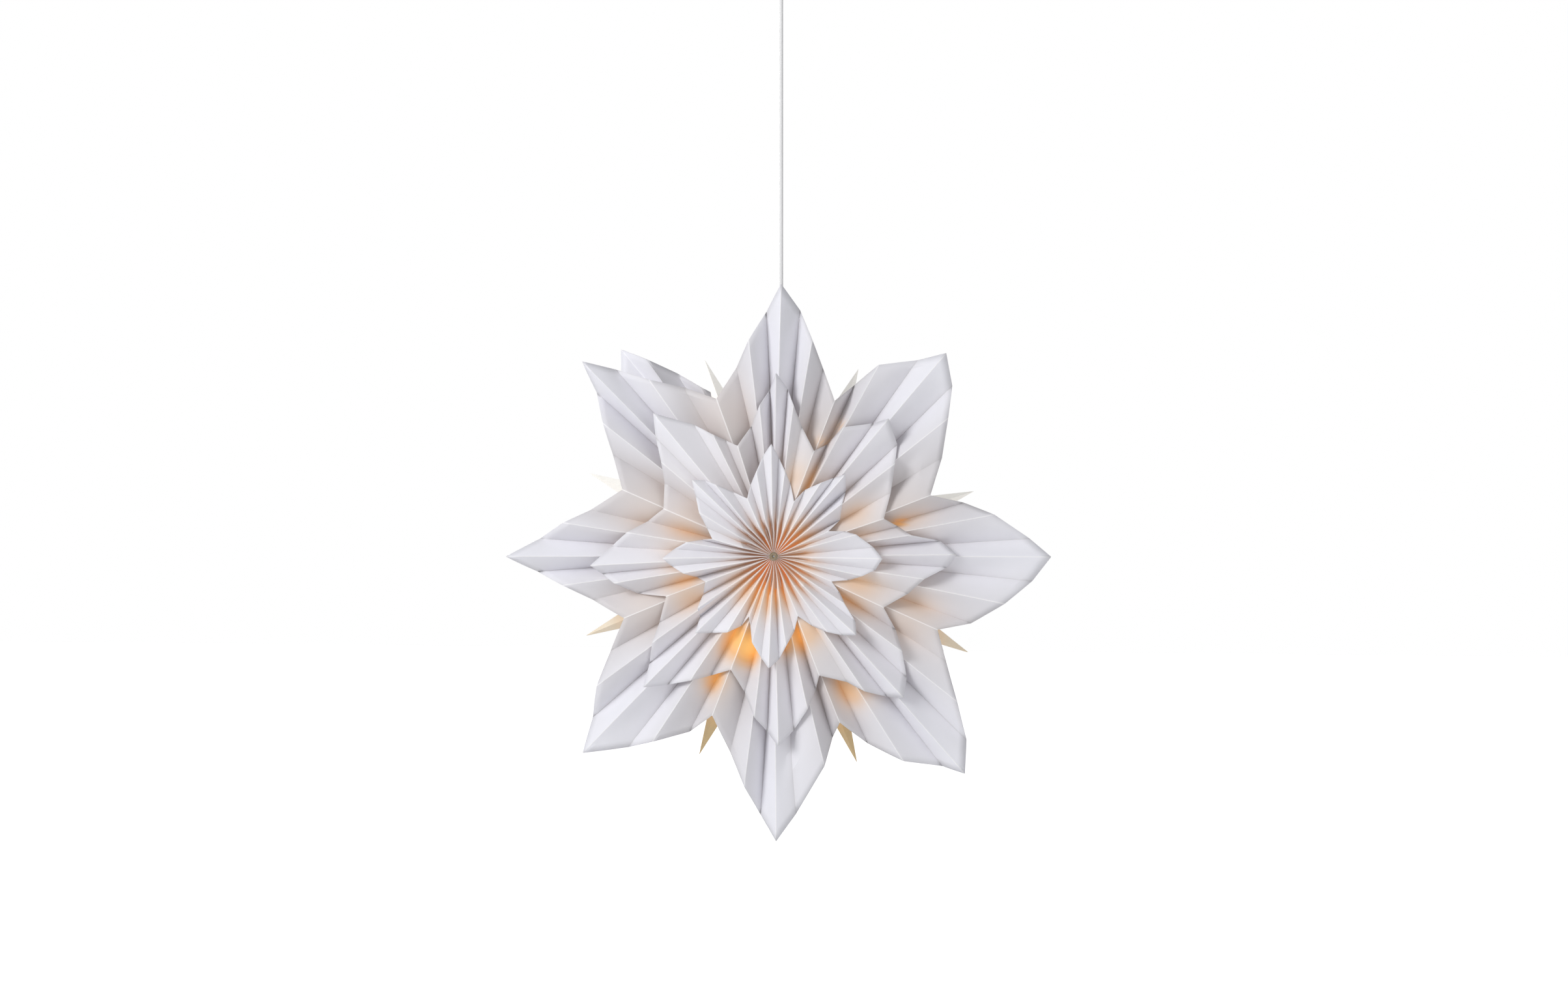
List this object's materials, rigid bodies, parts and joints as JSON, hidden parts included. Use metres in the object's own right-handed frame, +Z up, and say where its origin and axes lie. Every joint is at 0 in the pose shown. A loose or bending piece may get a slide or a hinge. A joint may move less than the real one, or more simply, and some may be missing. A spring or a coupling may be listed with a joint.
{
  "type": "pleated paper star pendant",
  "caption": "Hanging star lantern: pleated white paper rosettes front and back, ivory spikes between the points, a warm lamp inside and a straight white cord.",
  "frame": {"origin": "middle of the ceiling bracket's back face, on the ceiling", "axes": "+Z up, the star's front looks along -Y, +X to the right seen from the front"},
  "size_m": [0.776, 0.2064, 1.298],
  "materials": {
    "white_paper": "matte, slightly translucent",
    "ivory_paper": "matte, slightly translucent",
    "card": "matte",
    "thread": "matte",
    "white_cord": "smooth, satin",
    "white_plastic": "satin",
    "zinc_steel": "satin",
    "wire_steel": "satin",
    "brass": "satin",
    "cap_metal": "satin",
    "bulb_glass": "clear",
    "filament": "matte"
  },
  "bodies": {
    "ceiling_mount": {"ceiling_bracket": "zinc_steel", "ceiling_hook": "zinc_steel", "hook_nut": "zinc_steel"},
    "link": {"hanging_ring": "zinc_steel"},
    "pendant": {"cord_grip": "white_plastic", "grip_nut": "white_plastic", "cord": "white_cord"},
    "canopy_cup": {"canopy": "white_plastic", "canopy_collar": "white_plastic", "collar_screw": "zinc_steel"},
    "star": {"holder_cap": "white_plastic", "holder_body": "white_plastic", "socket_shell": "brass", "socket_contact": "brass", "shade_ring": "white_plastic", "spreader": "wire_steel", "front_large_star": "white_paper", "front_medium_star": "white_paper", "front_small_star": "white_paper", "back_large_star": "white_paper", "back_medium_star": "white_paper", "back_small_star": "white_paper", "core_ring": "card", "core_spike_1": "ivory_paper", "core_spike_2": "ivory_paper", "core_spike_3": "ivory_paper", "core_spike_4": "ivory_paper", "core_spike_5": "ivory_paper", "core_spike_6": "ivory_paper", "core_spike_7": "ivory_paper", "core_spike_8": "ivory_paper", "front_hub_tube": "card", "front_hub_tie": "thread", "back_hub_tube": "card", "back_hub_tie": "thread"},
    "bulb": {"bulb_cap": "cap_metal", "bulb_glass": "bulb_glass", "bulb_filament": "filament"}
  },
  "joints": [
    {"name": "swing_front_back", "type": "hinge", "parent": "ceiling_mount", "child": "link", "pos_m": [0, 0, -0.031], "axis": [1, 0, 0], "range_deg": [-5, 5]},
    {"name": "swing_side", "type": "hinge", "parent": "link", "child": "pendant", "pos_m": [0, 0, -0.0451], "axis": [0, 1, 0], "range_deg": [-5, 5]},
    {"name": "canopy_slide", "type": "slide", "parent": "pendant", "child": "canopy_cup", "axis": [0, 0, -1], "range_m": [0, 0.06]},
    {"name": "star_turn", "type": "hinge", "parent": "pendant", "child": "star", "pos_m": [0, 0, -0.853], "axis": [0, 0, 1], "continuous": true},
    {"name": "bulb_out", "type": "slide", "parent": "star", "child": "bulb", "axis": [0, 0, -1], "range_m": [0, 0.03]}
  ]
}
